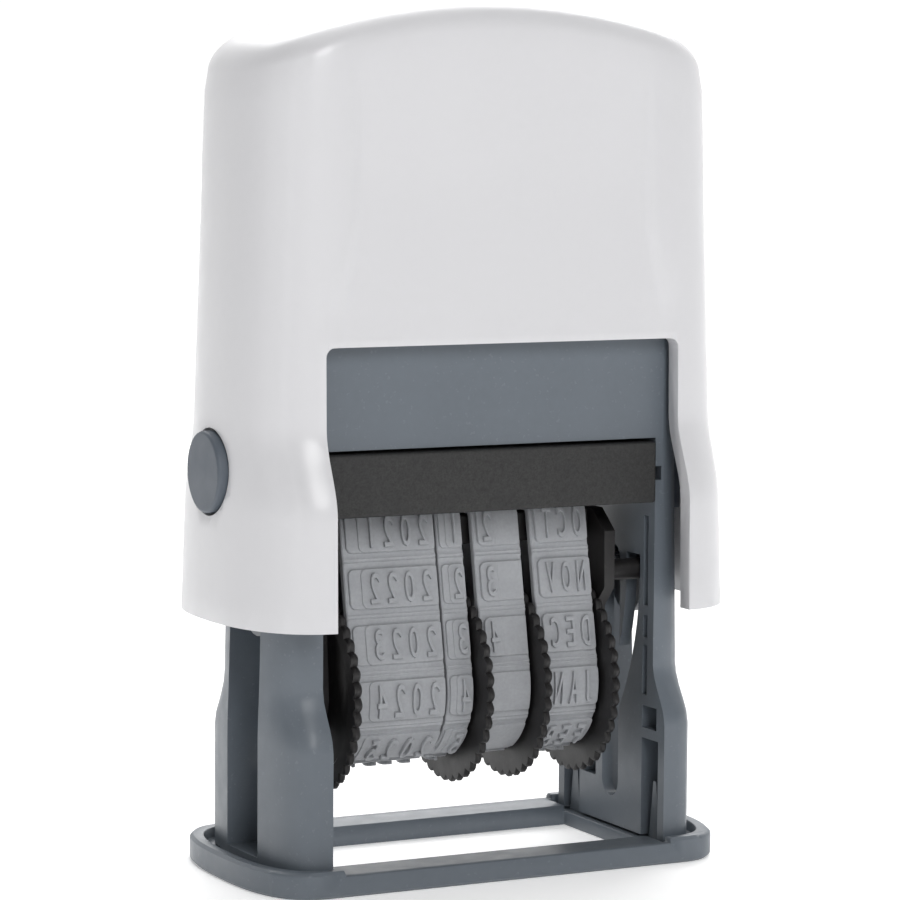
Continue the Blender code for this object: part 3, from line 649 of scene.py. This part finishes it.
def on_loop(along, rise):
    """(y, z) at a length along the belt from the bed's middle, down the front first, and a rise above it."""
    along %= 2 * HALF_LOOP
    if along > HALF_LOOP:
        y, z = on_loop(2 * HALF_LOOP - along, rise)
        return -y, z
    if along <= BED_HALF_DEPTH:
        return -along, BELT_TOP_Z + rise
    along -= BED_HALF_DEPTH
    turned = along / BED_ROUND
    if turned <= BED_SWEEP:
        reach = BED_ROUND + rise
        middle = BELT_TOP_Z - BED_ROUND
        return -BED_HALF_DEPTH - reach * math.sin(turned), middle + reach * math.cos(turned)
    along -= BED_ROUND * BED_SWEEP
    out_y, out_z = -math.cos(SLOPE), math.sin(SLOPE)
    start_y = -BED_HALF_DEPTH + (BED_ROUND + rise) * out_y
    start_z = BELT_TOP_Z - BED_ROUND + (BED_ROUND + rise) * out_z
    if along <= RUN:
        return start_y - out_z * along, start_z + out_y * along
    turned = (along - RUN) / BELT_RADIUS
    reach = BELT_RADIUS + rise
    angle = math.pi - SLOPE + turned
    return reach * math.cos(angle), SPINDLE_Z + reach * math.sin(angle)


def bend(bm):
    """Wraps a flat layout, with x across, y down the front and z the rise, round the belt's loop."""
    low = min(v.co.y for v in bm.verts)
    high = max(v.co.y for v in bm.verts)
    for i in range(1, int((high - low) / BEND_STEP) + 1):
        geometry = bm.verts[:] + bm.edges[:] + bm.faces[:]
        place = Vector((0, low + i * BEND_STEP, 0))
        bmesh.ops.bisect_plane(bm, geom=geometry, plane_co=place, plane_no=(0, 1, 0), dist=1e-7)
    for vert in bm.verts:
        vert.co.y, vert.co.z = on_loop(vert.co.y, vert.co.z)


def tablet(bm, x_low, x_high, middle, base, rise, radii):
    """A low block with drafted sides and its left and right corners rounded by radii."""
    half = PITCH * TABLET_SHARE / 2
    left, right = radii
    rings = []
    top = base + rise
    for inset, z in ((0.0, base), (TABLET_DRAFT, top - TABLET_EDGE), (TABLET_DRAFT + TABLET_EDGE, top)):
        x0, x1 = x_low + inset, x_high - inset
        y0, y1 = middle - half + inset, middle + half - inset
        outline = arc((x1 - right, y1 - right), right, 0, 90, 4)
        outline += arc((x0 + left, y1 - left), left, 90, 180, 6)
        outline += arc((x0 + left, y0 + left), left, 180, 270, 6)
        outline += arc((x1 - right, y0 + right), right, 270, 360, 4)
        rings.append(ring_of(bm, [(x, y, z) for x, y in outline]))
    join_rings(bm, rings)
    bm.faces.new(rings[-1])
    bm.faces.new(rings[0][::-1])


def letter_mesh(character):
    """One raised character, upright, about the origin, one unit tall, with drafted sides."""
    curve = bpy.data.curves.new("letter", "FONT")
    curve.body = character
    curve.align_x = "CENTER"
    curve.resolution_u = 3
    curve.extrude = 0.03
    curve.bevel_depth = 0.022
    curve.bevel_resolution = 1
    curve.offset = -0.012
    obj = bpy.data.objects.new("letter", curve)
    bpy.context.scene.collection.objects.link(obj)
    bpy.context.view_layer.update()
    graph = bpy.context.evaluated_depsgraph_get()
    mesh = bpy.data.meshes.new_from_object(obj.evaluated_get(graph))
    bpy.data.objects.remove(obj, do_unlink=True)
    low = Vector(tuple(min(v.co[i] for v in mesh.vertices) for i in range(3)))
    high = Vector(tuple(max(v.co[i] for v in mesh.vertices) for i in range(3)))
    size = high - low
    centre = (low + high) / 2
    mesh.transform(Matrix.Diagonal((1, 1 / size.y, 1 / size.z, 1)) @ Matrix.Translation(-centre))
    return mesh, size.x / size.y


def add_letters(bm, text, x_middle, width, along, base):
    """Mirrored type across a cell: it reads from right to left, and its foot points down the front."""
    cell = width / len(text)
    for i, character in enumerate(text):
        if character not in LETTERS:
            LETTERS[character] = letter_mesh(character)
        mesh, aspect = LETTERS[character]
        span = min(cell * LETTER_CELL_SHARE, LETTER_HEIGHT * aspect * LETTER_NARROWING)
        x = x_middle - (i - (len(text) - 1) / 2) * cell
        before = len(bm.verts)
        bm.from_mesh(mesh)
        bm.verts.ensure_lookup_table()
        # The type is turned over in x and y, which together keep its faces pointing out.
        scale = Vector((-span / aspect, -LETTER_HEIGHT, LETTER_RISE))
        for vert in bm.verts[before:]:
            vert.co = Vector((vert.co.x * scale.x, vert.co.y * scale.y, vert.co.z * scale.z))
            vert.co += Vector((x, along, base + LETTER_RISE / 2 - LETTER_SUNK))


LETTERS = {}


def belt(bm, x_low, x_high):
    """The endless belt, with shallow ribs across it between each cell and the next."""
    stations = CELL_COUNT * BELT_STATIONS_PER_CELL
    round_off = BELT_EDGE
    rings = []
    for i in range(stations):
        share = i / stations * CELL_COUNT
        from_gap = abs((share % 1.0) - 0.5)
        rib = SIDE_RIB_RISE if SIDE_RIB_SPAN[0] < from_gap < SIDE_RIB_SPAN[1] else 0.0
        rib += GAP_RIB_RISE if from_gap < GAP_RIB_SPAN else 0.0
        along = share * PITCH
        profile = (
            (x_low, -BELT_THICKNESS + round_off),
            (x_low + round_off, -BELT_THICKNESS),
            (x_high - round_off, -BELT_THICKNESS),
            (x_high, -BELT_THICKNESS + round_off),
            (x_high, -round_off + rib),
            (x_high - round_off, rib),
            (x_low + round_off, rib),
            (x_low, -round_off + rib),
        )
        rings.append(ring_of(bm, [(x, *on_loop(along, rise)) for x, rise in profile]))
    join_rings(bm, rings, cyclic=True)


MONTHS = ("JAN", "FEB", "MAR", "APR", "MAY", "JUN", "JUL", "AUG", "SEP", "OCT", "NOV", "DEC")
FIRST_YEAR = 2020
FIRST_MONTH = 8
ENTRIES = {
    "year": [str(FIRST_YEAR + i) for i in range(CELL_COUNT)],
    "units": [str(i) if i < 10 else "" for i in range(CELL_COUNT)],
    "tens": [str(i + 1) if i < 4 else "" for i in range(CELL_COUNT)],
    "month": [MONTHS[(FIRST_MONTH + i) % len(MONTHS)] for i in range(CELL_COUNT)],
}
# For each band: margin, tab width, share of the cell that the type takes, corner radii.
LAYOUTS = {
    "year": (0.45 * MM, 1.45 * MM, 1.0, (0.7 * MM, 0.3 * MM)),
    "units": (0.2 * MM, 0.75 * MM, 1.0, (0.6 * MM, 0.5 * MM)),
    "tens": (0.45 * MM, 0.0, 0.42, (0.8 * MM, 0.12 * MM)),
    "month": (0.5 * MM, 0.0, 1.0, (0.7 * MM, 0.45 * MM)),
}


def add_cell(bm, text, layout, x_low, x_high, middle):
    """One cell laid out flat: its tab, its tablet and, where it has an entry, the raised type."""
    margin, tab, type_share, radii = layout
    x_low += margin
    x_high -= TABLET_END_GAP
    if tab:
        tablet(bm, x_low, x_low + tab + TAB_OVERLAP, middle, -TABLET_SUNK, TAB_RISE, radii)
    x_low += tab
    if type_share < 1:
        tablet(bm, x_low, x_high, middle, -TABLET_SUNK, BLANK_RISE, radii)
        x_high = x_low + (x_high - x_low) * type_share
    if type_share == 1 or text:
        tablet(bm, x_low, x_high, middle, -TABLET_SUNK, TABLET_RISE + TABLET_SUNK, radii)
    if text:
        width = max(x_high - x_low - TYPE_MARGINS, NARROWEST_TYPE)
        add_letters(bm, text, (x_low + x_high) / 2, width, middle, TABLET_RISE)


def make_band(name):
    """The belt, which stands for the band's node, and the type, which rides with it."""
    node = f"band_{name}"
    low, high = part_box(node)
    bm = bmesh.new()
    belt(bm, low.x, high.x)
    stand_for(mesh_piece(f"{node}_belt", bm, 25), node)
    bm = bmesh.new()
    for i, text in enumerate(ENTRIES[name]):
        add_cell(bm, text, LAYOUTS[name], low.x, high.x, i * PITCH)
    bend(bm)
    finish_like(mesh_piece(f"{node}_type", bm, 30), node)


# ---------------------------------------------------------------- thumbwheels

SCALLOPS = 40
SCALLOP_DEPTH = 0.6 * MM
STEPS_PER_SCALLOP = 8
DRUM_RADIUS = 7 * MM
WHEEL_BORE = 1.5 * MM
WHEEL_CHAMFER = 0.22 * MM
RIM_SHOULDER = 1.1 * MM
RIM_WIDTH = 2.2 * MM
RIM_FACE_DEPTH = 0.02 * MM
HUB_RADIUS = 3.0 * MM
HUB_DEPTH = 0.15 * MM
DISH_DEPTH = 0.35 * MM
DISH_BEVEL = 0.4 * MM


def make_wheel(name):
    """A scalloped rim with a dished face, turned in one with its drum."""
    node = f"thumbwheel_{name}"
    low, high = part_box(node)
    band_x = [corner.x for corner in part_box(f"band_{name}")]
    rim_on_left = band_x[0] - low.x > high.x - band_x[1]
    if rim_on_left:
        outer, inner, drum_end = low.x, band_x[0] - GAP, high.x
    else:
        outer, inner, drum_end = high.x, band_x[1] + GAP, low.x
    into = math.copysign(1, inner - outer)
    radius = high.z - SPINDLE_Z
    chamfer = WHEEL_CHAMFER
    # x, radius, and how much of the scallops' depth the ring shows
    profile = (
        (outer + into * HUB_DEPTH, WHEEL_BORE, 0),
        (outer + into * HUB_DEPTH, HUB_RADIUS, 0),
        (outer + into * DISH_DEPTH, HUB_RADIUS + DISH_BEVEL, 0),
        (outer + into * DISH_DEPTH, radius - RIM_WIDTH - DISH_BEVEL, 0),
        (outer + into * RIM_FACE_DEPTH, radius - RIM_WIDTH, 0),
        (outer, radius - RIM_SHOULDER, 0.2),
        (outer, radius - chamfer, 1),
        (outer + into * chamfer, radius, 1),
        (inner - into * chamfer, radius, 1),
        (inner, radius - chamfer, 1),
        (inner, radius - RIM_SHOULDER, 0.2),
        (inner, DRUM_RADIUS, 0),
        (drum_end, DRUM_RADIUS, 0),
        (drum_end, WHEEL_BORE, 0),
    )
    steps = SCALLOPS * STEPS_PER_SCALLOP
    bm = bmesh.new()
    rings = []
    for x, reach, scalloped in profile:
        points = []
        for i in range(steps):
            angle = math.tau * i / steps
            notch = (1 - abs(math.cos(SCALLOPS * angle / 2))) * SCALLOP_DEPTH * scalloped
            r = reach - notch
            points.append((x, r * math.cos(angle), SPINDLE_Z + r * math.sin(angle)))
        rings.append(ring_of(bm, points))
    join_rings(bm, rings, cyclic=True)
    return stand_for(mesh_piece(f"{node}_turned", bm, 32), node)


# ---------------------------------------------------------------- ink pad


PAD_CUTS = 14
PAD_PULL_IN = 0.012
PAD_CROWN = 0.35 * MM
PAD_MOST_CROWN = 0.5 * MM


def make_pad():
    """A felt pad, crowned a little towards the type, with soft corners."""
    low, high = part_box("ink_pad")
    bm = bmesh.new()
    bmesh.ops.create_cube(bm, size=1.0)
    bmesh.ops.subdivide_edges(bm, edges=bm.edges, cuts=PAD_CUTS, use_grid_fill=True)
    size = high - low
    centre = (low + high) / 2
    for vert in bm.verts:
        x, y, z = vert.co * 2
        soft = 1 - PAD_PULL_IN * (x**8 + y**8)
        worn = PAD_CROWN * (x**6 + y**6) if z < 0 else 0.0
        vert.co = centre + Vector((x * soft * size.x, y * soft * size.y, z * size.z)) / 2
        vert.co.z += min(worn, PAD_MOST_CROWN)
    pad = stand_for(mesh_piece("ink_pad_felt", bm, 60), "ink_pad")


# ---------------------------------------------------------------- return spring

WIRE_RADIUS = 0.4 * MM
COILS = 8
END_COIL_RISE = 0.9 * MM


def coil_height(turn, low, high):
    """Height of the wire's centre. The first and the last coil lie closed, as on a ground spring."""
    if turn < 1:
        return low + END_COIL_RISE * turn
    if turn > COILS - 1:
        return high - END_COIL_RISE * (COILS - turn)
    open_low, open_high = low + END_COIL_RISE, high - END_COIL_RISE
    return open_low + (open_high - open_low) * (turn - 1) / (COILS - 2)


def make_spring(steps=40, sides=12):
    """A round-wire compression spring, made at the length of its CAD node."""
    low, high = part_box("return_spring")
    coil_radius = high.x - WIRE_RADIUS
    bm = bmesh.new()
    rings = []
    for step in range(COILS * steps + 1):
        turn = step / steps
        z = coil_height(turn, low.z + WIRE_RADIUS, high.z - WIRE_RADIUS)
        angle = 2 * math.pi * turn
        outline = []
        for side in range(sides):
            around = 2 * math.pi * side / sides
            reach = coil_radius + WIRE_RADIUS * math.cos(around)
            rise = z + WIRE_RADIUS * math.sin(around)
            outline.append((reach * math.cos(angle), reach * math.sin(angle), rise))
        rings.append(ring_of(bm, outline))
    join_rings(bm, rings)
    bm.faces.new(rings[0][::-1])
    bm.faces.new(rings[-1])
    spring = stand_for(mesh_piece("return_spring_coil", bm), "return_spring")
    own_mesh(spring)
    return spring


# ---------------------------------------------------------------- CAD nodes that keep their shape

EDGE_WIDTH = 0.12 * MM
WIDER_EDGES = {"frame": 0.25 * MM, "pad_cartridge": 0.2 * MM}


def finish_nodes():
    """Every CAD node gets its finish and even shading, and all but the steel ones get softened edges."""
    for name, node in frame["nodes"].items():
        slot = slot_of(name)
        node.data.materials.clear()
        node.data.materials.append(FINISHES[slot])
        node.data.shade_smooth()
        join_facets(node)
        if slot != "spring_steel":
            soften(node, WIDER_EDGES.get(name, EDGE_WIDTH), angle=50)
        even_normals(node)


def join_facets(node):
    """Joins the loose triangles of a CAD node, so that rounded faces shade smoothly."""
    weld = node.modifiers.new("join_corners", "WELD")
    weld.merge_threshold = 0.001 * MM
    flat = node.modifiers.new("join_flat_faces", "DECIMATE")
    flat.decimate_type = "DISSOLVE"
    flat.angle_limit = math.radians(0.5)


def even_normals(node):
    """Shades the large faces flat and lets the narrow ones between them turn."""
    normals = node.modifiers.new("even_normals", "WEIGHTED_NORMAL")
    normals.keep_sharp = False


# ---------------------------------------------------------------- stage

FLOOR_REACH = 3.0
FLOOR_GAP = 0.02 * MM
OBJECT_MIDDLE = (0, 0, 0.05)
# Each light: name, place, size, power. All of them point at the object.
SOFT_LIGHTS = (
    ("key", (-0.12, -0.8, 0.5), (0.35, 0.4), 3.6),
    ("corner", (-0.75, -0.55, 0.3), (0.12, 0.6), 0.45),
    ("side", (-0.8, -0.1, 0.25), (0.3, 0.6), 0.35),
    ("top", (0.0, 0.1, 0.9), (0.6, 0.6), 1.3),
)
WORLD_BRIGHT_TOWARDS = (0.6, 0.8, 0.0)
# The same, and the point on the floor behind the object that it lights.
FAR_LIGHT = ("far_floor", (1.0, 2.0, 1.8), (2.5, 2.5), 70)
FAR_LIGHT_TARGET = (0.9, 1.9, 0)


def add_area(name, location, size, power, target=OBJECT_MIDDLE):
    """A soft light that points at the target."""
    light = bpy.data.lights.new(name, "AREA")
    light.shape = "RECTANGLE"
    light.size, light.size_y = size
    light.energy = power
    obj = bpy.data.objects.new(name, light)
    obj.location = location
    obj.rotation_euler = (Vector(target) - Vector(location)).to_track_quat("-Z", "Y").to_euler()
    bpy.context.scene.collection.objects.link(obj)


def add_floor():
    """White paper, a hair below the foot ring."""
    floor_mesh = bpy.data.meshes.new("floor")
    reach = FLOOR_REACH
    corners = [(-reach, -reach, 0), (reach, -reach, 0), (reach, reach, 0), (-reach, reach, 0)]
    floor_mesh.from_pydata(corners, [], [(0, 1, 2, 3)])
    floor = bpy.data.objects.new("floor", floor_mesh)
    bpy.context.scene.collection.objects.link(floor)
    floor.location.z = -FLOOR_GAP
    paper = Shader("floor_white", (0.93, 0.93, 0.93), 0.85)
    paper.vary_roughness(4 * MM, 0.04)
    paper.bsdf.inputs["Emission Color"].default_value = (1, 1, 1, 1)
    paper.bsdf.inputs["Emission Strength"].default_value = 0.3
    floor_mesh.materials.append(paper.material)


def add_lights():
    for light in SOFT_LIGHTS:
        add_area(*light)
    add_area(*FAR_LIGHT, target=FAR_LIGHT_TARGET)


def set_world():
    """Bright behind the object, as seen from the camera, and dim in front of it."""
    world = bpy.data.worlds.new("studio")
    bpy.context.scene.world = world
    world.use_nodes = True
    tree = world.node_tree
    direction = tree.nodes.new("ShaderNodeTexCoord").outputs["Generated"]
    facing = tree.nodes.new("ShaderNodeVectorMath")
    facing.operation = "DOT_PRODUCT"
    facing.inputs[1].default_value = WORLD_BRIGHT_TOWARDS
    tree.links.new(direction, facing.inputs[0])
    strength = tree.nodes.new("ShaderNodeMapRange")
    strength.inputs["From Min"].default_value = -0.2
    strength.inputs["From Max"].default_value = 0.75
    strength.inputs["To Min"].default_value = 0.1
    strength.inputs["To Max"].default_value = 1.05
    tree.links.new(facing.outputs["Value"], strength.inputs["Value"])
    tree.links.new(strength.outputs["Result"], tree.nodes["Background"].inputs["Strength"])
    tree.nodes["Background"].inputs["Color"].default_value = (1, 1, 1, 1)
    bpy.context.scene.view_settings.view_transform = "Standard"


def set_camera():
    """From the front left, a little above the date bands, with a long lens."""
    camera = bpy.data.cameras.new("camera")
    camera.lens = 147.3
    camera.sensor_width = 36
    camera.clip_start = 0.01
    obj = bpy.data.objects.new("camera", camera)
    obj.location = (-0.1907, -0.3741, 0.0897)
    yaw, pitch, roll = (math.radians(angle) for angle in (26.95, 5.78, 0.38))
    turn = Matrix.Rotation(-yaw, 3, "Z") @ Matrix.Rotation(math.pi / 2 - pitch, 3, "X")
    obj.rotation_euler = (turn @ Matrix.Rotation(roll, 3, "Z")).to_euler()
    bpy.context.scene.collection.objects.link(obj)
    bpy.context.scene.camera = obj


def main():
    set_camera()
    add_floor()
    add_lights()
    set_world()
    finish_nodes()
    make_cap()
    make_ring()
    for name in ENTRIES:
        make_band(name)
        make_wheel(name)
    make_pad()
    make_spring()


main()
